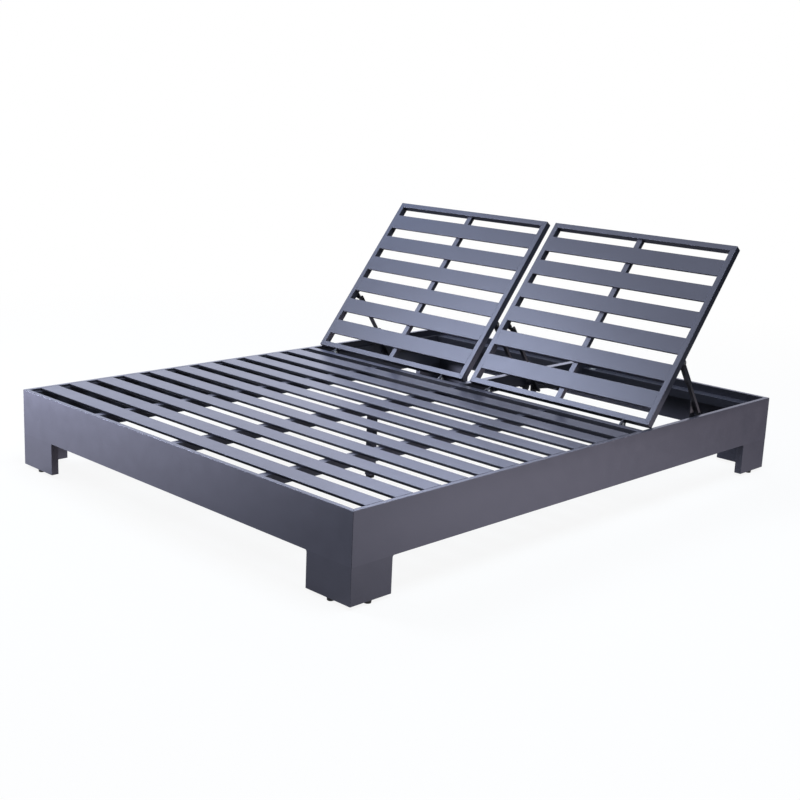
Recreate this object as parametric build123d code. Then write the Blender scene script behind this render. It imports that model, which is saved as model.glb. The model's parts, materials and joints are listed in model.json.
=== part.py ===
from build123d import *
import os
from math import atan2, cos, degrees, hypot, radians, sin

# Double chaise lounger: a low platform with a slatted deck and two reclining backrests.
# Millimetres. Origin on the floor under the middle, +X to the right, +Y from foot to head, +Z up.

# Platform
platform_length = 2000
platform_width = 1560
platform_height = 260
rail_height = 147
rail_thickness = 25
lip_width = 15
tube_wall = 2
foot_wing_length = 167
side_wing_length = 145
leg_floor = 3

# Glides and centre post
glide_height = 9
glide_radius = 11
glide_taper = 1.5
glide_inset_on_foot_wing = 84
glide_inset_on_side_wing = 73
post_width = 25
post_glide_radius = 15
post_before_hinge_rail = 395

# Deck
slat_width = 64
slat_gap_wanted = 42
slat_thickness = 8
slat_edge_cut = 0.8
slat_wall = 1.2
slat_end_gap = 1
deck_bar_width = 25
deck_bar_height = 34
deck_bar_spacing = 393
hinge_rail_width = 28
hinge_rail_height = 60
divider_width = 25
divider_height = 50

# Backrests
back_length = 684
back_side_gap = 3
back_middle_gap = 38
back_end_gap = 7.5
back_tube_width = 19
back_tube_depth = 25
back_tube_wall = 1.5
back_slat_count = 6
back_slat_width = 61
centre_bar_width = 20
raised_angle = 51.25

# Backrest hinges
hinge_behind_rail = 25.3
hinge_below_top = 7
back_beyond_hinge = 17.2
hinge_inset = 92
hinge_plate = 5
hinge_lug_radius = 10
hinge_root_height = 40
hinge_root_drop = 4
lug_root_inset = 2
bolt_radius = 4
bolt_head_radius = 6.5
bolt_head_height = 4.5
bore_gap = 0.05
side_gap = 0.3

# Stays behind the backrests
stay_inset = 12
stay_width = 16
stay_depth = 14
stay_wall = 1.5
ear_along_back = 272.1
ear_below_hinge_line = 36.5
ear_plate = 3
ear_length = 24
ear_tip_width = 16
end_cut_share = 0.3
sleeve_length = 88
sleeve_overlap = 40
leg_depth = 10
leg_past_pin = 36
catch_from_ear = 180
catch_radius = 14
catch_length = 60
catch_thickness = 3
rivet_radius = 3
rivet_head_radius = 5.5
rivet_end_length = 1
pin_radius = 4

# Racks that the stays' foot pins run on
rack_tilt = 5.9
rack_height = 16
rack_front_length = 6
rack_stop_length = 20
rack_stop_rise = 12
notch_depth = 6
notch_corner = 1.5
notch_angles = (51.25, 42, 32, 21)
running_gap = 0.3
hanger_width = 26
hanger_drop = 35
hanger_behind_rest = 17
hanger_before_flat = 17
hanger_clearance = 5

# Ledge along the head rail
rest_gap = 0.3
ledge_width = 25
ledge_height = 30
bumper_length = 20
bumper_width = 12
bumper_thickness = 3
bumper_end_inset = 30
bearer_clearance = 2

overrun = 1

half_length = platform_length / 2
half_width = platform_width / 2
rail_bottom = platform_height - rail_height
slat_bottom = platform_height - slat_thickness
deck_bar_bottom = slat_bottom - deck_bar_height
rail_inside = half_width - rail_thickness
head_inside = half_length - rail_thickness

hinge_y = half_length - lip_width - back_end_gap - back_length - back_beyond_hinge
hinge_z = platform_height - hinge_below_top
hinge_rail_rear = hinge_y - hinge_behind_rail
hinge_rail_front = hinge_rail_rear - hinge_rail_width
deck_front = -half_length + lip_width
deck_length = hinge_rail_front - deck_front
slat_count = round((deck_length - slat_gap_wanted) / (slat_width + slat_gap_wanted))
slat_gap = (deck_length - slat_count * slat_width) / (slat_count + 1)
slat_pitch = slat_width + slat_gap

back_outer_x = half_width - lip_width - back_side_gap
back_inner_x = back_middle_gap / 2
back_width = back_outer_x - back_inner_x
back_low = back_beyond_hinge
back_high = back_low + back_length
back_top = hinge_below_top
back_under = back_top - back_tube_depth
back_opening = back_length - 2 * back_tube_width
back_slat_gap = (back_opening - back_slat_count * back_slat_width) / (back_slat_count + 1)

ear_radius = hypot(ear_along_back, ear_below_hinge_line)
ear_angle = degrees(atan2(-ear_below_hinge_line, ear_along_back))
stay_angle = -(raised_angle + ear_angle + 2 * rack_tilt)
stay_reach = ear_radius
rack_thickness = stay_inset - rail_thickness + lip_width + back_side_gap - side_gap
rivet_head_height = rack_thickness - ear_plate - side_gap
leg_width = stay_width - 2 * stay_wall

parts = {}


def block(x_span, y_span, z_span):
    """Box between two corners, given as a low and a high value on each axis."""
    spans = (x_span, y_span, z_span)
    middle = [(low + high) / 2 for low, high in spans]
    size = [high - low for low, high in spans]
    return Pos(*middle) * Box(*size)


def box_tube(x_span, y_span, z_span, wall, along):
    """Rectangular tube, open at both ends of the axis it runs along: 0 is X, 1 is Y, 2 is Z."""
    bore = [(low + wall, high - wall) for low, high in (x_span, y_span, z_span)]
    low, high = (x_span, y_span, z_span)[along]
    bore[along] = (low - overrun, high + overrun)
    return block(x_span, y_span, z_span) - block(*bore)


def mitre_prism(length, width, height):
    """Prism whose ends run inwards at 45 degrees from the outer face on y = 0."""
    half = length / 2
    outline = Polygon((-half, 0), (half, 0), (half - width, width), (width - half, width), align=None)
    return extrude(outline, height)


def rod_x(radius, x_span):
    """Round rod along X through the origin of the YZ plane."""
    low, high = x_span
    return Pos((low + high) / 2, 0, 0) * Rot(0, 90, 0) * Cylinder(radius, high - low)


def plate_x(outline, x_span):
    """Plate from an outline drawn in Y and Z, between two X values."""
    low, high = x_span
    return Pos(low, 0, 0) * extrude(Plane.YZ * outline, high - low)


def on_left(shape):
    """The same piece on the other side of the middle."""
    return mirror(shape, about=Plane.YZ)


def at_hinge(shape):
    """Place a piece drawn along a backrest at that backrest's raised angle."""
    return Pos(0, hinge_y, hinge_z) * Rot(raised_angle, 0, 0) * shape


def at_ear(shape):
    """Place a piece drawn along a stay, with the top bolt at its origin, at rest."""
    direction = radians(raised_angle + ear_angle)
    y = hinge_y + ear_radius * cos(direction)
    z = hinge_z + ear_radius * sin(direction)
    return Pos(0, y, z) * Rot(stay_angle, 0, 0) * shape


def rail(length, bearers):
    """Mitred hollow rail along X: a tall lip, and a bearer inside it stepped down to each depth."""
    half = length / 2
    body = block((-half, half), (0, lip_width), (0, rail_height))
    bore = block((tube_wall - half, half - tube_wall), (tube_wall, lip_width - tube_wall),
                 (tube_wall, rail_height - tube_wall))
    for start, end, depth in bearers:
        top = rail_height - depth
        body += block((start, end), (0, rail_thickness), (0, top))
        bore += block((start + tube_wall, end - tube_wall), (tube_wall, rail_thickness - tube_wall),
                      (tube_wall, top - tube_wall))
    return (body - bore) & mitre_prism(length, rail_thickness, rail_height)


def add_rails():
    well_depth = back_tube_depth + bearer_clearance
    half_divider = divider_width / 2
    foot = rail(platform_width, [(-half_width, half_width, slat_thickness)])
    head = rail(platform_width, [
        (-half_width, -half_divider, well_depth),
        (-half_divider, half_divider, 0),
        (half_divider, half_width, well_depth),
    ])
    side = rail(platform_length, [
        (-half_length, hinge_rail_front, slat_thickness),
        (hinge_rail_front, hinge_rail_rear, 0),
        (hinge_rail_rear, half_length, well_depth),
    ])
    parts["foot_rail"] = Pos(0, -half_length, rail_bottom) * foot
    parts["head_rail"] = Pos(0, half_length, rail_bottom) * Rot(0, 0, 180) * head
    parts["right_rail"] = Pos(half_width, 0, rail_bottom) * Rot(0, 0, 90) * side
    parts["left_rail"] = on_left(parts["right_rail"])


def leg_outline(inset):
    """L-shaped plan of the foot right leg, drawn in by an inset on every side."""
    right = half_width - inset
    front = -half_length + inset
    wing_left = half_width - foot_wing_length + inset
    wing_rear = -half_length + side_wing_length - inset
    inner_x = rail_inside + inset
    inner_y = -half_length + rail_thickness - inset
    return Polygon((wing_left, front), (right, front), (right, wing_rear), (inner_x, wing_rear),
                   (inner_x, inner_y), (wing_left, inner_y), align=None)


def leg_glide_places():
    """Plan places of the two glides under the foot right leg."""
    half_wall = rail_thickness / 2
    return [
        (half_width - glide_inset_on_foot_wing, -half_length + half_wall),
        (half_width - half_wall, -half_length + glide_inset_on_side_wing),
    ]


def add_legs():
    shell = Pos(0, 0, glide_height) * extrude(leg_outline(0), rail_bottom - glide_height)
    inside_low = glide_height + leg_floor
    shell -= Pos(0, 0, inside_low) * extrude(leg_outline(tube_wall), rail_bottom - inside_low + overrun)
    parts["foot_right_leg"] = shell
    parts["foot_left_leg"] = on_left(shell)
    parts["head_right_leg"] = mirror(shell, about=Plane.XZ)
    parts["head_left_leg"] = on_left(parts["head_right_leg"])


def glide(radius):
    """Round glide that tapers down to the floor."""
    return Pos(0, 0, glide_height / 2) * Cone(radius - glide_taper, radius, glide_height)


def add_glides_and_post():
    glides = []
    for x, y in leg_glide_places():
        for side in (-1, 1):
            for end in (-1, 1):
                glides.append(Pos(side * x, end * y, 0) * glide(glide_radius))
    half = post_width / 2
    post_y = hinge_rail_front - post_before_hinge_rail
    glides.append(Pos(0, post_y, 0) * glide(post_glide_radius))
    parts["glides"] = Compound(glides)
    parts["centre_posts"] = box_tube((-half, half), (post_y - half, post_y + half),
                                     (glide_height, deck_bar_bottom), tube_wall, 2)


def flat_slat(length, width):
    """Hollow slat along X with eased edges, centred on the origin."""
    outline = Rectangle(width, slat_thickness)
    outline = chamfer(outline.vertices(), slat_edge_cut)
    bore = Rectangle(width - 2 * slat_wall, slat_thickness - 2 * slat_wall)
    return extrude(Plane.YZ * (outline - bore), length / 2, both=True)


def add_deck():
    slat_length = platform_width - 2 * lip_width - 2 * slat_end_gap
    for number in range(slat_count):
        y = deck_front + slat_gap + slat_width / 2 + number * slat_pitch
        slat = Pos(0, y, platform_height - slat_thickness / 2) * flat_slat(slat_length, slat_width)
        parts[f"deck_slat_{number + 1:02d}"] = slat
    half = deck_bar_width / 2
    run = (-half_length + rail_thickness, hinge_rail_front)
    parts["deck_bars"] = Compound([
        box_tube((x - half, x + half), run, (deck_bar_bottom, slat_bottom), tube_wall, 1)
        for x in (-deck_bar_spacing, 0, deck_bar_spacing)
    ])


def add_cross_members():
    parts["hinge_rail"] = box_tube(
        (-rail_inside, rail_inside), (hinge_rail_front, hinge_rail_rear),
        (platform_height - hinge_rail_height, platform_height), tube_wall, 0)
    half = divider_width / 2
    parts["divider_beam"] = box_tube(
        (-half, half), (hinge_rail_rear, head_inside),
        (platform_height - divider_height, platform_height), tube_wall, 1)
    bumper_top = platform_height - back_tube_depth - rest_gap
    ledge_top = bumper_top - bumper_thickness
    ledge = box_tube((half, rail_inside), (head_inside - ledge_width, head_inside),
                     (ledge_top - ledge_height, ledge_top), tube_wall, 0)
    parts["head_ledges"] = Compound([ledge, on_left(ledge)])
    middle_y = head_inside - ledge_width / 2
    start = half + bumper_end_inset
    bumper = block((start, start + bumper_length), (middle_y - bumper_width / 2, middle_y + bumper_width / 2),
                   (ledge_top, bumper_top))
    parts["ledge_bumpers"] = Compound([bumper, on_left(bumper)])


def hinge_sides():
    """For each hinge of the right backrest: the seam between its plates, and which way the lug lies."""
    return ((back_inner_x + hinge_inset, 1), (back_outer_x - hinge_inset, -1))


def span(start, direction, length):
    """Low and high X of a length that runs from a start in a direction."""
    end = start + direction * length
    return (min(start, end), max(start, end))


def bracket_outline():
    """Side view of a hinge bracket: rooted on the hinge rail's rear face, round at the bolt."""
    root = -hinge_behind_rail
    root_top = hinge_below_top - hinge_root_drop
    arm = make_hull([
        *Circle(hinge_lug_radius).edges(),
        *(Pos(root + overrun / 2, root_top - hinge_root_height / 2)
          * Rectangle(overrun, hinge_root_height)).edges(),
    ])
    return arm - Circle(bolt_radius + bore_gap)


def lug_outline():
    """Side view of a backrest's hinge lug: rooted on its bottom tube, round at the bolt."""
    root_depth = back_tube_depth - 2 * lug_root_inset
    middle = back_top - back_tube_depth / 2
    arm = make_hull([
        *Circle(hinge_lug_radius).edges(),
        *(Pos(back_low - overrun / 2, middle) * Rectangle(overrun, root_depth)).edges(),
    ])
    return arm - Circle(bolt_radius + bore_gap)


def hex_bolt(head_start, direction, grip, end_gap):
    """Bolt along X with a hexagon head and nut, gripping what lies between them."""
    shank = rod_x(bolt_radius, span(head_start, direction, grip + end_gap + bolt_head_height))
    head = Plane.YZ * RegularPolygon(bolt_head_radius, 6)
    low, high = span(head_start, -direction, bolt_head_height)
    bolt = shank + Pos(low, 0, 0) * extrude(head, high - low)
    low, high = span(head_start + direction * (grip + end_gap), direction, bolt_head_height)
    return bolt + Pos(low, 0, 0) * extrude(head, high - low)


def add_hinges():
    brackets = []
    bolts = []
    lugs = []
    place = Pos(0, hinge_y, hinge_z)
    for seam, inward in hinge_sides():
        brackets.append(place * plate_x(bracket_outline(), span(seam, -inward, hinge_plate)))
        lug_start = seam + inward * side_gap
        lugs.append(at_hinge(plate_x(lug_outline(), span(lug_start, inward, hinge_plate))))
        grip = 2 * hinge_plate + side_gap
        bolts.append(place * hex_bolt(seam - inward * hinge_plate, inward, grip, side_gap))
    parts["hinge_brackets"] = Compound(brackets + [on_left(piece) for piece in brackets])
    parts["hinge_bolts"] = Compound(bolts + [on_left(piece) for piece in bolts])
    parts["right_hinge_lugs"] = Compound(lugs)
    parts["left_hinge_lugs"] = Compound([on_left(piece) for piece in lugs])


def back_tube(length):
    """Mitred hollow frame tube along X, its outer face on y = 0 and its front on top."""
    half = length / 2
    body = block((-half, half), (0, back_tube_width), (0, back_tube_depth))
    body -= block((back_tube_wall - half, half - back_tube_wall),
                  (back_tube_wall, back_tube_width - back_tube_wall),
                  (back_tube_wall, back_tube_depth - back_tube_wall))
    return body & mitre_prism(length, back_tube_width, back_tube_depth)


def add_backrests():
    middle_x = (back_inner_x + back_outer_x) / 2
    middle_y = (back_low + back_high) / 2
    right = {
        "bottom_tube": Pos(middle_x, back_low, back_under) * back_tube(back_width),
        "top_tube": Pos(middle_x, back_high, back_under) * Rot(0, 0, 180) * back_tube(back_width),
        "outer_tube": Pos(back_outer_x, middle_y, back_under) * Rot(0, 0, 90) * back_tube(back_length),
        "inner_tube": Pos(back_inner_x, middle_y, back_under) * Rot(0, 0, -90) * back_tube(back_length),
    }
    slat_length = back_width - 2 * back_tube_width
    slats = []
    for number in range(back_slat_count):
        y = back_low + back_tube_width + back_slat_gap + back_slat_width / 2
        y += number * (back_slat_width + back_slat_gap)
        place = Pos(middle_x, y, back_top - slat_thickness / 2)
        slats.append(place * flat_slat(slat_length, back_slat_width))
    right["back_slats"] = Compound(slats)
    half = centre_bar_width / 2
    right["centre_bar"] = box_tube(
        (middle_x - half, middle_x + half), (back_low + back_tube_width, back_high - back_tube_width),
        (back_under, back_top - slat_thickness), back_tube_wall, 1)
    for name, piece in right.items():
        placed = at_hinge(piece)
        parts["right_" + name] = placed
        parts["left_" + name] = on_left(placed)


def stay_sides():
    """For each right stay: its name, its face beside the rack, and which way its width runs."""
    return (("outer", back_outer_x - stay_inset, -1), ("inner", back_inner_x + stay_inset, 1))


def strap_end(length, depth):
    """Outline of a strap along Y from the origin, its rounded start cut to flats round a bolt there."""
    half = depth / 2
    cut = end_cut_share * depth
    return Polygon((length, -half), (length, half), (cut - half, half), (-half, half - cut),
                   (-half, cut - half), (cut - half, -half), align=None)


def stay_bracket(face, inward):
    """Ear plate welded under a side tube, outside the stay, with the pivot at its origin."""
    root = back_under + ear_below_hinge_line
    half_tip = ear_tip_width / 2
    cut = end_cut_share * ear_tip_width
    outline = Polygon((-ear_length / 2, root), (-half_tip, cut - half_tip), (cut - half_tip, -half_tip),
                      (half_tip - cut, -half_tip), (half_tip, cut - half_tip), (ear_length / 2, root),
                      align=None)
    outline -= Circle(rivet_radius + bore_gap)
    return plate_x(outline, span(face - inward * side_gap, -inward, ear_plate))


def stay_rivet(face, inward):
    """Pivot rivet through an ear plate and the top of its stay, with a round head outside."""
    start = face - inward * (side_gap + ear_plate)
    shank = rod_x(rivet_radius, span(start, inward, side_gap + ear_plate + stay_width + rivet_end_length))
    return shank + rod_x(rivet_head_radius, span(start, -inward, rivet_head_height))


def sleeve(face, inward):
    """Upper half of a stay: a channel with its web in front, blunt at the top pivot."""
    half = stay_depth / 2
    body = plate_x(strap_end(sleeve_length, stay_depth), span(face, inward, stay_width))
    body -= block(span(face + inward * stay_wall, inward, leg_width),
                  (-half - overrun, sleeve_length + overrun), (stay_wall - half, half + overrun))
    bore = rod_x(rivet_radius + bore_gap, span(face - inward * overrun, inward, stay_width + 2 * overrun))
    return body - bore


def leg(face, inward):
    """Lower half of a stay: a narrower channel that slides in the upper one, and the foot pin through it."""
    start = sleeve_length - sleeve_overlap
    end = stay_reach + leg_past_pin
    half = leg_depth / 2
    near = face + inward * stay_wall
    outline = Pos(end - half, 0) * Rot(0, 0, 180) * strap_end(end - half - start, leg_depth)
    body = plate_x(outline, span(near, inward, leg_width))
    body -= block(span(near + inward * stay_wall, inward, leg_width - 2 * stay_wall),
                  (start - overrun, end + overrun), (stay_wall - half, half + overrun))
    pin_length = rack_thickness + stay_wall + leg_width
    pin = rod_x(pin_radius, span(face - inward * rack_thickness, inward, pin_length))
    return body + Pos(0, stay_reach, 0) * pin


def catch_plate(face, inward):
    """Round-topped plate on the leg's inner side, hanging straight down when the backrest is raised."""
    start = face + inward * (stay_wall + leg_width)
    outline = Circle(catch_radius) + Pos(catch_length / 2, 0) * Rectangle(catch_length, 2 * catch_radius)
    plate = plate_x(outline, span(start, inward, catch_thickness))
    return Pos(0, catch_from_ear, 0) * Rot(-90 - stay_angle, 0, 0) * plate


def add_stays():
    ears = []
    rivets = []
    to_ear = Pos(0, ear_along_back, -ear_below_hinge_line)
    for name, face, inward in stay_sides():
        ears.append(at_hinge(to_ear * stay_bracket(face, inward)))
        rivets.append(at_hinge(to_ear * stay_rivet(face, inward)))
        upper = at_ear(sleeve(face, inward))
        lower = [at_ear(piece(face, inward)) for piece in (leg, catch_plate)]
        parts[f"right_{name}_stay_sleeve"] = upper
        parts[f"left_{name}_stay_sleeve"] = on_left(upper)
        parts[f"right_{name}_stay_leg"] = Compound(lower)
        parts[f"left_{name}_stay_leg"] = Compound([on_left(piece) for piece in lower])
    parts["right_stay_brackets"] = Compound(ears)
    parts["left_stay_brackets"] = Compound([on_left(piece) for piece in ears])
    parts["right_stay_rivets"] = Compound(rivets)
    parts["left_stay_rivets"] = Compound([on_left(piece) for piece in rivets])


def pin_distance(angle):
    """Distance of a foot pin from the backrest's hinge at a backrest angle."""
    return 2 * ear_radius * cos(radians(angle + ear_angle + rack_tilt))


def rack_place(angle):
    """Distance along the racks of the pin at a backrest angle, from its place with the backrest raised."""
    return pin_distance(angle) - pin_distance(raised_angle)


def rack_outline():
    """Side view of a rack, along the pin's path with the resting pin at the origin."""
    half_slot = pin_radius + running_gap
    top = -half_slot
    low = top - rack_height
    front = -half_slot - rack_front_length
    stop = rack_place(0) + half_slot
    points = [(front, low), (front, top)]
    for angle in notch_angles:
        start = rack_place(angle) - half_slot
        end = rack_place(angle) + half_slot
        floor = top - notch_depth
        points += [(start, top), (start, floor + notch_corner), (start + notch_corner, floor),
                   (end - notch_corner, floor), (end, floor + notch_corner), (end, top)]
    points += [(stop, top), (stop, 0), (stop + rack_stop_length, 0), (stop + rack_stop_length, low)]
    outline = Polygon(*reversed(points), align=None)
    stop_radius = rack_stop_length / 2
    stop_middle = rack_stop_rise - stop_radius
    outline += Pos(stop + stop_radius, stop_middle / 2) * Rectangle(rack_stop_length, stop_middle)
    return outline + Pos(stop + stop_radius, stop_middle) * Circle(stop_radius)


def hanger_outline(y, foot):
    """Side view of a rack hanger, from the side of the divider beam down to its blunt foot."""
    top = platform_height - back_tube_depth - hanger_clearance
    half = hanger_width / 2
    cut = end_cut_share * hanger_width
    return Polygon((y - half, top), (y - half, foot + cut), (y - half + cut, foot), (y + half - cut, foot),
                   (y + half, foot + cut), (y + half, top), align=None)


def add_racks():
    line = radians(rack_tilt)
    distance = pin_distance(raised_angle)
    place = Pos(0, hinge_y + distance * cos(line), hinge_z - distance * sin(line)) * Rot(-rack_tilt, 0, 0)
    hangers = []
    for name, face, inward in stay_sides():
        start = face - inward * side_gap
        rack = place * plate_x(rack_outline(), span(start, -inward, rack_thickness))
        parts[f"right_{name}_rack"] = rack
        parts[f"left_{name}_rack"] = on_left(rack)
        if name == "inner":
            for reach in (distance + hanger_behind_rest, pin_distance(0) - hanger_before_flat):
                y = hinge_y + reach * cos(line)
                foot = hinge_z - reach * sin(line) - hanger_drop
                hanger = plate_x(hanger_outline(y, foot), (divider_width / 2, start - rack_thickness))
                hangers += [hanger, on_left(hanger)]
    parts["rack_hangers"] = Compound(hangers)


add_rails()
add_legs()
add_glides_and_post()
add_deck()
add_cross_members()
add_hinges()
add_backrests()
add_stays()
add_racks()

os.makedirs("parts", exist_ok=True)
for node, shape in parts.items():
    export_step(shape, f"parts/{node}.step")
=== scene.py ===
import json
from math import cos, radians, sin

import bmesh
import bpy
from mathutils import Matrix, Vector

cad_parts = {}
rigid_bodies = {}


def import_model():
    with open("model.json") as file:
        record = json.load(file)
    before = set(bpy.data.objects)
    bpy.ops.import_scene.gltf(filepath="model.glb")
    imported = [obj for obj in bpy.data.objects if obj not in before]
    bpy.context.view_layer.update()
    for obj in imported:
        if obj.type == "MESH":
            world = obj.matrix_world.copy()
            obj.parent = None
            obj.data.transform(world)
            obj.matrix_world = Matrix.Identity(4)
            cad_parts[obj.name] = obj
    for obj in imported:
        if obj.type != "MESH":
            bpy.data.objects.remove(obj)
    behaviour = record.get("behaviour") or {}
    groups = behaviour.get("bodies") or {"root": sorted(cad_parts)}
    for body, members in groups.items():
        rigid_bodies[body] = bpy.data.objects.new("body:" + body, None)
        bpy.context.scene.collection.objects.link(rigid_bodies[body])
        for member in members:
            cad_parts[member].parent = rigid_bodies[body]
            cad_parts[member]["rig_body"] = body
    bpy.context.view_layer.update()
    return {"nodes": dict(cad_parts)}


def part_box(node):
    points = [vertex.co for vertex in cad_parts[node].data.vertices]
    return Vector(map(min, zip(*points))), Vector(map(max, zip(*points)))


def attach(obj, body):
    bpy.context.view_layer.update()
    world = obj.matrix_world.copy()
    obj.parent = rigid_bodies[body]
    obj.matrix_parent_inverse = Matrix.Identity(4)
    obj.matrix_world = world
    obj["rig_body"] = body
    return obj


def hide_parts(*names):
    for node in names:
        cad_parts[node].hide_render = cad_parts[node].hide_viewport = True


# Looks of a double chaise lounger: satin powder-coated aluminium, steel stays, black glides.
# Metres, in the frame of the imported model: +X to the right, +Y from foot to head, +Z up.

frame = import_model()
nodes = frame["nodes"]

# Camera, solved from the corners of the platform in an 800 pixel square
camera_place = (2.950, -3.107, 1.279)
camera_azimuth = 44.84
camera_elevation = 13.49
camera_roll = 2.32
camera_lens = 58.84
camera_sensor = 36
camera_shift = (0.025, -0.00625)

# Colours of light and sheen
white = (1, 1, 1)
lavender = (0.80, 0.80, 1.0)
pale = (0.88, 0.90, 1.0)
cool = (0.82, 0.91, 1.0)
sky = (0.72, 0.86, 1.0)
blue = (0.35, 0.60, 1.0)
warm = (1.0, 0.88, 0.86)

# Finish of each material slot of the record. The colour varies by the spread either way, the grain
# is a fine bump, edges go lighter by a share as a painted highlight, and the tint is of the sheen.
finishes = {
    "coated_aluminium": {
        "name": "satin_coat", "colour": (0.055, 0.056, 0.074), "spread": 0.05, "roughness": 0.31,
        "grain_scale": 900, "grain_depth": 0.00010, "edge_highlight": 0.5, "metallic": 0.5, "tint": lavender,
    },
    "coated_steel": {
        "name": "steel_coat", "colour": (0.045, 0.044, 0.052), "spread": 0.08, "roughness": 0.42,
        "grain_scale": 800, "grain_depth": 0.00015, "edge_highlight": 0.5, "metallic": 0.4, "tint": lavender,
    },
    "fastener_steel": {
        "name": "bolt_steel", "colour": (0.30, 0.30, 0.31), "spread": 0.10, "roughness": 0.34,
        "grain_scale": 500, "grain_depth": 0.00008, "edge_highlight": 0.3, "metallic": 0.9, "tint": white,
    },
    "glide_plastic": {
        "name": "glide_plastic", "colour": (0.012, 0.012, 0.013), "spread": 0.10, "roughness": 0.55,
        "grain_scale": 600, "grain_depth": 0.00010, "edge_highlight": 0.3, "metallic": 0, "tint": white,
    },
    "bumper_rubber": {
        "name": "bumper_rubber", "colour": (0.36, 0.36, 0.37), "spread": 0.06, "roughness": 0.70,
        "grain_scale": 500, "grain_depth": 0.00010, "edge_highlight": 0.2, "metallic": 0, "tint": white,
    },
}

# Slot of a node by the end of its name. All other nodes are coated aluminium.
slot_endings = {
    "glide_plastic": ("glides",),
    "bumper_rubber": ("ledge_bumpers",),
    "fastener_steel": ("bolts", "rivets"),
    "coated_steel": ("rack", "rack_hangers", "sleeve", "stay_leg", "stay_brackets",
                     "hinge_brackets", "lugs"),
}

# Pattern of all finishes. A range is what part of a noise is stretched from none to full.
noise_detail = 2
cloud_scale = 3
cloud_range = (0.35, 0.65)
speck_scale = 420
speck_range = (0.60, 0.75)
speck_share = 0.35
speck_lightness = 1.6
# Painted highlight on the edges: the pointiness range that gets it, and how much lighter it is
edge_range = (0.52, 0.60)
edge_lightness = 2.4
gloss_scale = 22
gloss_detail = 4
gloss_range = (0.3, 0.7)
gloss_spread = 0.015
bump_strength = 0.35

# Colour sockets of a Mix node
mix_inputs = (6, 7)
mix_result = 2

# Meshes
weld_distance = 0.00002
flat_angle = radians(1)
sharp_angle = radians(35)
level_tolerance = 0.0005
edge_segments = 2
round_profile = 0.5
frame_edge = 0.0011
tube_edge = 0.0009
small_edge = 0.0004
face_weight = 100

# Weld fillets under the rails at the legs
corner_legs = ("foot_left_leg", "foot_right_leg", "head_left_leg", "head_right_leg")
rail_thickness = 0.025
fillet_radius = 0.006
fillet_inset = 0.0004
fillet_sunk = 0.0015
fillet_steps = 6

# Washer faces of the hinge bolts: Y and Z of the hinge, and for each face on the right side the X
# that it starts at and the way it goes from there. The rounding is a share of the thickness.
hinge_place = (0.2763, 0.253)
flange_faces = ((0.106, -1), (0.1166, 1), (0.675, 1), (0.6644, -1))
flange_thickness = 0.001
flange_radius = 0.008
flange_sides = 32
flange_rounding = 0.25

# Floor: grey levels of its paint, distances over which it fades into white, half sizes over which
# the shade under the platform ends, and bright pools that the rails mirror, each by its place,
# reach and level
floor_radius = 9
floor_sides = 96
seen_paint = 0.92
seen_glow = 0.90
seen_fade = (1.2, 4.0)
mirrored_paint = 0.10
mirrored_fade = (2.6, 4.5)
bounced_paint = 0.15
shade_paint = 0.02
shade_width = (0.53, 0.73)
shade_length = (0.9, 1.1)
floor_pools = (
    ((-0.88, -1.12, 0), 1.5, 1.0),
    ((1.25, -0.15, 0), 1.7, 1.0),
    ((0, 1.7, 0), 1.1, 0.8),
)

# Strength of the white surroundings as light. Where they are seen or mirrored, it is 1.
surroundings_light = 0.14

# Softboxes: name, place, target, width and height, power, colour
softboxes = (
    ("overhead", (1.5, -0.2, 4.2), (0.3, -0.3, 0), (2.4, 2.4), 150, sky),
    ("key", (-2.6, -1.85, 3.15), (0, 0.5, 0.5), (1.7, 1.7), 88, cool),
    ("blue_fill", (-4.4, 0.6, 3.6), (0, 0.5, 0.5), (1.6, 1.6), 28, blue),
    ("rear", (-4.0, 3.1, 1.8), (0, 0, 0.26), (4.4, 2.4), 26, cool),
    ("rear_top", (-2.8, 3.6, 3.4), (0.3, -0.2, 0.26), (1.8, 1.0), 46, cool),
    ("left_strip", (-3.1, -2.7, 0.14), (-0.5, -1, 0.14), (2.4, 0.26), 125, pale),
    ("right_strip", (5.2, 3.7, 0.2), (0.78, -0.2, 0.2), (2.4, 0.38), 185, warm),
)

# Black cards: their grey level, then name, X and Y of both ends, lowest and highest level
flag_paint = 0.02
flags = (
    ("rear_flag", (2.4, 2.6), (-1.6, 6.0), 0, 2.2),
    ("side_flag", (3.46, -0.36), (0.9, 2.7), 0.27, 1.6),
)


def link(tree, output, socket):
    """Join one node's output to another's input."""
    tree.links.new(output, socket)


def object_noise(tree, coordinates, scale, detail=noise_detail):
    """Noise pattern in object space."""
    noise = tree.nodes.new("ShaderNodeTexNoise")
    noise.inputs["Scale"].default_value = scale
    noise.inputs["Detail"].default_value = detail
    link(tree, coordinates, noise.inputs["Vector"])
    return noise.outputs["Fac"]


def remap(tree, value, old, new):
    """Map a value from one range to another, and clamp it there."""
    node = tree.nodes.new("ShaderNodeMapRange")
    node.inputs["From Min"].default_value, node.inputs["From Max"].default_value = old
    node.inputs["To Min"].default_value, node.inputs["To Max"].default_value = new
    link(tree, value, node.inputs["Value"])
    return node.outputs["Result"]


def larger(tree, first, second):
    """Larger of two values."""
    node = tree.nodes.new("ShaderNodeMath")
    node.operation = "MAXIMUM"
    link(tree, first, node.inputs[0])
    link(tree, second, node.inputs[1])
    return node.outputs["Value"]


def distance_from(tree, coordinates, place):
    """Distance of the shaded point from a place."""
    node = tree.nodes.new("ShaderNodeVectorMath")
    node.operation = "DISTANCE"
    node.inputs[1].default_value = place
    link(tree, coordinates, node.inputs[0])
    return node.outputs["Value"]


def ray_is(tree, *kinds):
    """One for rays of any of the named kinds, otherwise zero."""
    path = tree.nodes.new("ShaderNodeLightPath")
    result = path.outputs[kinds[0]]
    for kind in kinds[1:]:
        result = larger(tree, result, path.outputs[kind])
    return result


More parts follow.
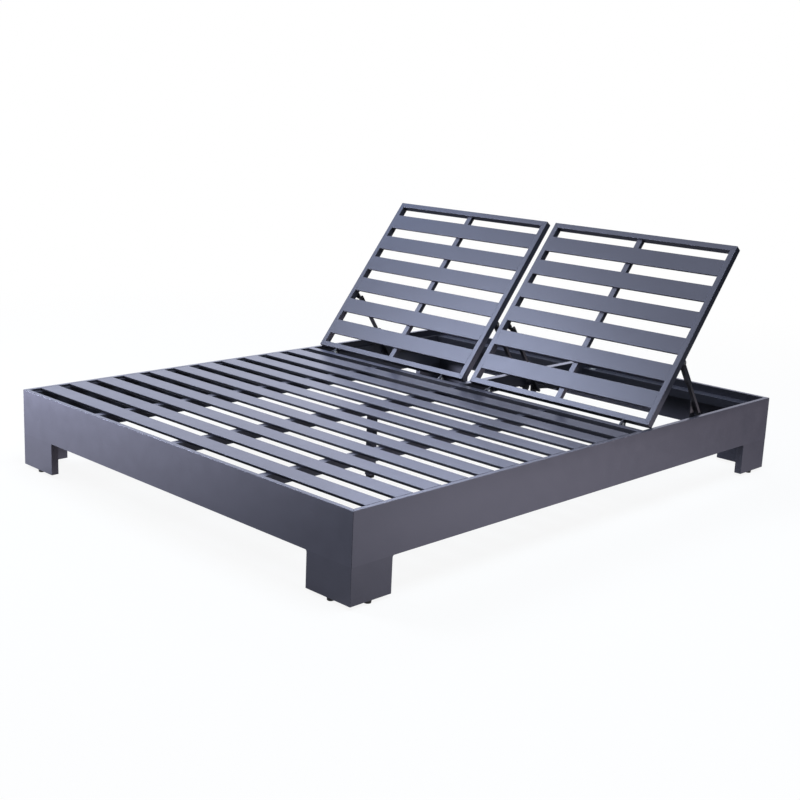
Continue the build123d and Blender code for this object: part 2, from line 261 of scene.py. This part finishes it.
def scaled(colour, factor):
    """Lighter or darker copy of a colour."""
    return tuple(channel * factor for channel in colour)


def mixed_colour(tree, share, first, second):
    """Blend of two colours, each a constant or another node's output."""
    node = tree.nodes.new("ShaderNodeMix")
    node.data_type = "RGBA"
    link(tree, share, node.inputs["Factor"])
    for number, colour in zip(mix_inputs, (first, second)):
        if isinstance(colour, tuple):
            node.inputs[number].default_value = (*colour, 1)
        else:
            link(tree, colour, node.inputs[number])
    return node.outputs[mix_result]


def mixed_shader(tree, share, first, second):
    """Blend of two shaders."""
    node = tree.nodes.new("ShaderNodeMixShader")
    link(tree, share, node.inputs["Fac"])
    link(tree, first, node.inputs[1])
    link(tree, second, node.inputs[2])
    return node.outputs["Shader"]


def matt(tree, level):
    """Grey matt paint."""
    paint = tree.nodes.new("ShaderNodeBsdfDiffuse")
    paint.inputs["Color"].default_value = (level, level, level, 1)
    return paint.outputs["BSDF"]


def white_glow(tree):
    """Plain white light, as bright as a white background."""
    glow = tree.nodes.new("ShaderNodeEmission")
    glow.inputs["Color"].default_value = (*white, 1)
    return glow.outputs["Emission"]


def bare_material(name):
    """Material with nothing but an output, its node tree and its surface socket."""
    material = bpy.data.materials.new(name)
    material.use_nodes = True
    tree = material.node_tree
    tree.nodes.clear()
    output = tree.nodes.new("ShaderNodeOutputMaterial")
    return material, tree, output.inputs["Surface"]


def textured_material(name, colour, spread, roughness, grain_scale, grain_depth, edge_highlight, metallic,
                      tint):
    """Procedural finish: cloudy colour, specks, a painted highlight on the edges, uneven gloss, a
    fine grain bump.
    """
    material = bpy.data.materials.new(name)
    material.use_nodes = True
    tree = material.node_tree
    shader = tree.nodes["Principled BSDF"]
    coordinates = tree.nodes.new("ShaderNodeTexCoord").outputs["Object"]

    cloud = object_noise(tree, coordinates, cloud_scale)
    cloud = remap(tree, cloud, cloud_range, (0, 1))
    base = mixed_colour(tree, cloud, scaled(colour, 1 - spread), scaled(colour, 1 + spread))
    speck = object_noise(tree, coordinates, speck_scale)
    speck = remap(tree, speck, speck_range, (0, speck_share))
    base = mixed_colour(tree, speck, base, scaled(colour, speck_lightness))
    # Painted highlight: the rounded edges, found by their pointiness, go to a lighter colour
    edge = tree.nodes.new("ShaderNodeNewGeometry").outputs["Pointiness"]
    edge = remap(tree, edge, edge_range, (0, edge_highlight))
    base = mixed_colour(tree, edge, base, scaled(colour, edge_lightness))
    link(tree, base, shader.inputs["Base Color"])

    gloss = object_noise(tree, coordinates, gloss_scale, gloss_detail)
    gloss = remap(tree, gloss, gloss_range, (roughness - gloss_spread, roughness + gloss_spread))
    link(tree, gloss, shader.inputs["Roughness"])

    grain = object_noise(tree, coordinates, grain_scale)
    bump = tree.nodes.new("ShaderNodeBump")
    bump.inputs["Strength"].default_value = bump_strength
    bump.inputs["Distance"].default_value = grain_depth
    link(tree, grain, bump.inputs["Height"])
    link(tree, bump.outputs["Normal"], shader.inputs["Normal"])

    shader.inputs["Metallic"].default_value = metallic
    shader.inputs["Specular Tint"].default_value = (*tint, 1)
    return material


def slot_of(node):
    """Material slot of a CAD node, from its name."""
    for slot, endings in slot_endings.items():
        if node.endswith(endings):
            return slot
    return "coated_aluminium"


def made_mesh(name, work):
    """Mesh of a bmesh, which is freed."""
    mesh = bpy.data.meshes.new(name)
    work.to_mesh(mesh)
    work.free()
    return mesh


def added_object(name, data):
    """New object in the scene."""
    thing = bpy.data.objects.new(name, data)
    bpy.context.scene.collection.objects.link(thing)
    return thing


def added_piece(name, mesh, body, slot):
    """New piece of the lounger on its body, with its finish."""
    piece = added_object(name, mesh)
    mesh.materials.clear()
    mesh.materials.append(materials[slot])
    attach(piece, body)
    return piece


def soft_shading(piece):
    """Smooth shading weighted by face area, so that flat faces stay flat beside rounded edges."""
    weighted = piece.modifiers.new("weighted_normals", "WEIGHTED_NORMAL")
    weighted.keep_sharp = True
    weighted.weight = face_weight


def any_edge(edge):
    """Test that every edge passes."""
    return True


def not_on_level(level):
    """Test for edges that don't lie in one horizontal plane."""
    def test(edge):
        return any(abs(corner.co.z - level) > level_tolerance for corner in edge.verts)
    return test


def round_edges(work, radius, wanted=any_edge):
    """Round the sharp edges of a mesh that pass the test, and shade it smooth."""
    for face in work.faces:
        face.smooth = True
    chosen = []
    for edge in work.edges:
        if not edge.is_manifold or edge.calc_face_angle() < sharp_angle:
            continue
        if wanted(edge):
            chosen.append(edge)
        else:
            edge.smooth = False
    bmesh.ops.bevel(work, geom=chosen, offset=radius, offset_type="OFFSET", segments=edge_segments,
                    profile=round_profile, affect="EDGES", clamp_overlap=True)
    # The rounding leaves slivers where it is held back by a short edge
    bmesh.ops.dissolve_degenerate(work, dist=weld_distance, edges=work.edges)


def dress(node, radius, wanted=any_edge):
    """Put a copy with rounded edges in the place of a CAD node."""
    source = nodes[node]
    work = bmesh.new()
    work.from_mesh(source.data)
    bmesh.ops.remove_doubles(work, verts=work.verts, dist=weld_distance)
    bmesh.ops.dissolve_limit(work, angle_limit=flat_angle, verts=work.verts, edges=work.edges)
    # The rounding would fold a concave face, such as a tube's end, over its opening
    bmesh.ops.connect_verts_concave(work, faces=work.faces)
    round_edges(work, radius, wanted)
    mesh = made_mesh(node + "_mesh", work)
    piece = added_piece(node + "_coated", mesh, source["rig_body"], slot_of(node))
    soft_shading(piece)
    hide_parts(node)


def dress_all():
    """Dress each CAD node. The joint between the rails and the corner legs stays flush."""
    off_joint = not_on_level(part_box("foot_right_leg")[1].z)
    for node in sorted(nodes):
        if node in corner_legs or (node.endswith("_rail") and node != "hinge_rail"):
            dress(node, frame_edge, off_joint)
        elif node.endswith("_tube"):
            dress(node, tube_edge)
        else:
            dress(node, small_edge)


def add_corner_fillet(name, corner, along):
    """Concave weld fillet under a rail, at the corner where a leg's wing ends, in a direction."""
    outline = [(-fillet_sunk, fillet_sunk), (fillet_radius, fillet_sunk), (fillet_radius, 0)]
    for step in range(1, fillet_steps):
        angle = radians(90 * step / fillet_steps)
        outline.append((fillet_radius * (1 - sin(angle)), -fillet_radius * (1 - cos(angle))))
    outline += [(0, -fillet_radius), (-fillet_sunk, -fillet_radius)]
    across = (abs(along[1]), abs(along[0]))
    half = rail_thickness / 2 - fillet_inset
    work = bmesh.new()
    ends = []
    for side in (-half, half):
        ends.append([work.verts.new((corner[0] + along[0] * reach + across[0] * side,
                                     corner[1] + along[1] * reach + across[1] * side,
                                     corner[2] + rise)) for reach, rise in outline])
    near, far = ends
    work.faces.new(near)
    work.faces.new(far[::-1])
    for place, following in enumerate((*range(1, len(outline)), 0)):
        work.faces.new((near[place], far[place], far[following], near[following]))
    bmesh.ops.recalc_face_normals(work, faces=work.faces)
    added_piece(name, made_mesh(name, work), "base", "coated_aluminium")


def add_corner_fillets():
    """Weld fillets at the ends of the eight leg wings."""
    for node in corner_legs:
        low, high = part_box(node)
        side = 1 if high.x > 0 else -1
        end = 1 if high.y > 0 else -1
        inner_x, outer_x = sorted((low.x, high.x), key=abs)
        inner_y, outer_y = sorted((low.y, high.y), key=abs)
        middle_x = outer_x - side * rail_thickness / 2
        middle_y = outer_y - end * rail_thickness / 2
        add_corner_fillet(node + "_fillet_1", (inner_x, middle_y, high.z), (-side, 0))
        add_corner_fillet(node + "_fillet_2", (middle_x, inner_y, high.z), (0, -end))


def add_flange(name, low, high):
    """Washer face of a hinge bolt, a disc with eased ends between two X."""
    thickness = high - low
    work = bmesh.new()
    bmesh.ops.create_cone(work, cap_ends=True, segments=flange_sides, radius1=flange_radius,
                          radius2=flange_radius, depth=thickness)
    bmesh.ops.rotate(work, verts=work.verts, matrix=Matrix.Rotation(radians(90), 3, "Y"))
    bmesh.ops.translate(work, verts=work.verts, vec=((low + high) / 2, *hinge_place))
    round_edges(work, thickness * flange_rounding)
    soft_shading(added_piece(name, made_mesh(name, work), "base", "fastener_steel"))


def add_hinge_flanges():
    """Washer faces of the hinge bolts: one under each head and each nut, on both sides."""
    for label, side in (("left", -1), ("right", 1)):
        for number, (start, way) in enumerate(flange_faces, 1):
            low, high = sorted((side * start, side * (start + way * flange_thickness)))
            add_flange(label + "_hinge_flange_" + str(number), low, high)


def outside_platform(tree, coordinates):
    """One on the open floor, zero in the shade under the platform."""
    size = tree.nodes.new("ShaderNodeVectorMath")
    size.operation = "ABSOLUTE"
    link(tree, coordinates, size.inputs[0])
    parts = tree.nodes.new("ShaderNodeSeparateXYZ")
    link(tree, size.outputs["Vector"], parts.inputs["Vector"])
    beside = remap(tree, parts.outputs["X"], shade_width, (0, 1))
    beyond = remap(tree, parts.outputs["Y"], shade_length, (0, 1))
    return larger(tree, beside, beyond)


def add_floor():
    """Pale floor that keeps a soft shadow and fades into the background."""
    work = bmesh.new()
    bmesh.ops.create_circle(work, cap_ends=True, radius=floor_radius, segments=floor_sides)
    floor = added_object("floor", made_mesh("floor_mesh", work))
    material, tree, surface = bare_material("floor_paint")
    floor.data.materials.append(material)
    coordinates = tree.nodes.new("ShaderNodeTexCoord").outputs["Object"]
    middle_distance = distance_from(tree, coordinates, (0, 0, 0))
    glow = white_glow(tree)

    seen_share = remap(tree, middle_distance, seen_fade, (seen_glow, 1))
    seen = mixed_shader(tree, seen_share, matt(tree, seen_paint), glow)

    mirrored_share = remap(tree, middle_distance, mirrored_fade, (0, 1))
    for place, reach, level in floor_pools:
        pool = remap(tree, distance_from(tree, coordinates, place), (0, reach), (level, 0))
        mirrored_share = larger(tree, mirrored_share, pool)
    mirrored = mixed_shader(tree, mirrored_share, matt(tree, mirrored_paint), glow)
    open_floor = outside_platform(tree, coordinates)
    mirrored = mixed_shader(tree, open_floor, matt(tree, shade_paint), mirrored)

    is_mirrored = ray_is(tree, "Is Glossy Ray", "Is Transmission Ray")
    shown = mixed_shader(tree, is_mirrored, matt(tree, bounced_paint), mirrored)
    shown = mixed_shader(tree, ray_is(tree, "Is Camera Ray"), shown, seen)
    link(tree, shown, surface)


def light_world():
    """White surroundings that light the object gently."""
    world = bpy.data.worlds.new("surroundings")
    bpy.context.scene.world = world
    world.use_nodes = True
    tree = world.node_tree
    background = tree.nodes["Background"]
    background.inputs["Color"].default_value = (*white, 1)
    looked_at = ray_is(tree, "Is Camera Ray", "Is Glossy Ray", "Is Transmission Ray")
    strength = remap(tree, looked_at, (0, 1), (surroundings_light, 1))
    link(tree, strength, background.inputs["Strength"])


def add_softbox(name, place, target, size, power, colour):
    """Rectangular lamp that faces a point."""
    lamp = bpy.data.lights.new(name, "AREA")
    lamp.shape = "RECTANGLE"
    lamp.size, lamp.size_y = size
    lamp.energy = power
    lamp.color = colour
    holder = added_object(name, lamp)
    holder.location = place
    direction = Vector(target) - Vector(place)
    holder.rotation_mode = "QUATERNION"
    holder.rotation_quaternion = direction.to_track_quat("-Z", "Y")
    holder.visible_camera = False


def add_flag(name, start, end, low, high):
    """Upright black card, out of the picture, that shades and darkens the faces turned to it."""
    mesh = bpy.data.meshes.new(name)
    mesh.from_pydata([(*start, low), (*end, low), (*end, high), (*start, high)], [], [(0, 1, 2, 3)])
    card = added_object(name, mesh)
    card.visible_camera = False
    material, tree, surface = bare_material(name + "_cloth")
    link(tree, matt(tree, flag_paint), surface)
    mesh.materials.append(material)


def add_camera():
    """Camera at the viewing angle of the photograph."""
    azimuth = radians(camera_azimuth)
    elevation = radians(camera_elevation)
    roll = radians(camera_roll)
    back = Vector((sin(azimuth) * cos(elevation), -cos(azimuth) * cos(elevation), sin(elevation)))
    level = Vector((cos(azimuth), sin(azimuth), 0))
    upright = back.cross(level)
    right = level * cos(roll) + upright * sin(roll)
    up = upright * cos(roll) - level * sin(roll)
    data = bpy.data.cameras.new("camera")
    data.lens = camera_lens
    data.sensor_width = camera_sensor
    data.shift_x, data.shift_y = camera_shift
    camera = added_object("camera", data)
    turn = Matrix((right, up, back)).transposed().to_4x4()
    camera.matrix_world = Matrix.Translation(camera_place) @ turn
    bpy.context.scene.camera = camera


materials = {slot: textured_material(**finish) for slot, finish in finishes.items()}
dress_all()
add_corner_fillets()
add_hinge_flanges()
add_floor()
light_world()
for softbox in softboxes:
    add_softbox(*softbox)
for flag in flags:
    add_flag(*flag)
add_camera()
bpy.context.scene.view_settings.view_transform = "Standard"
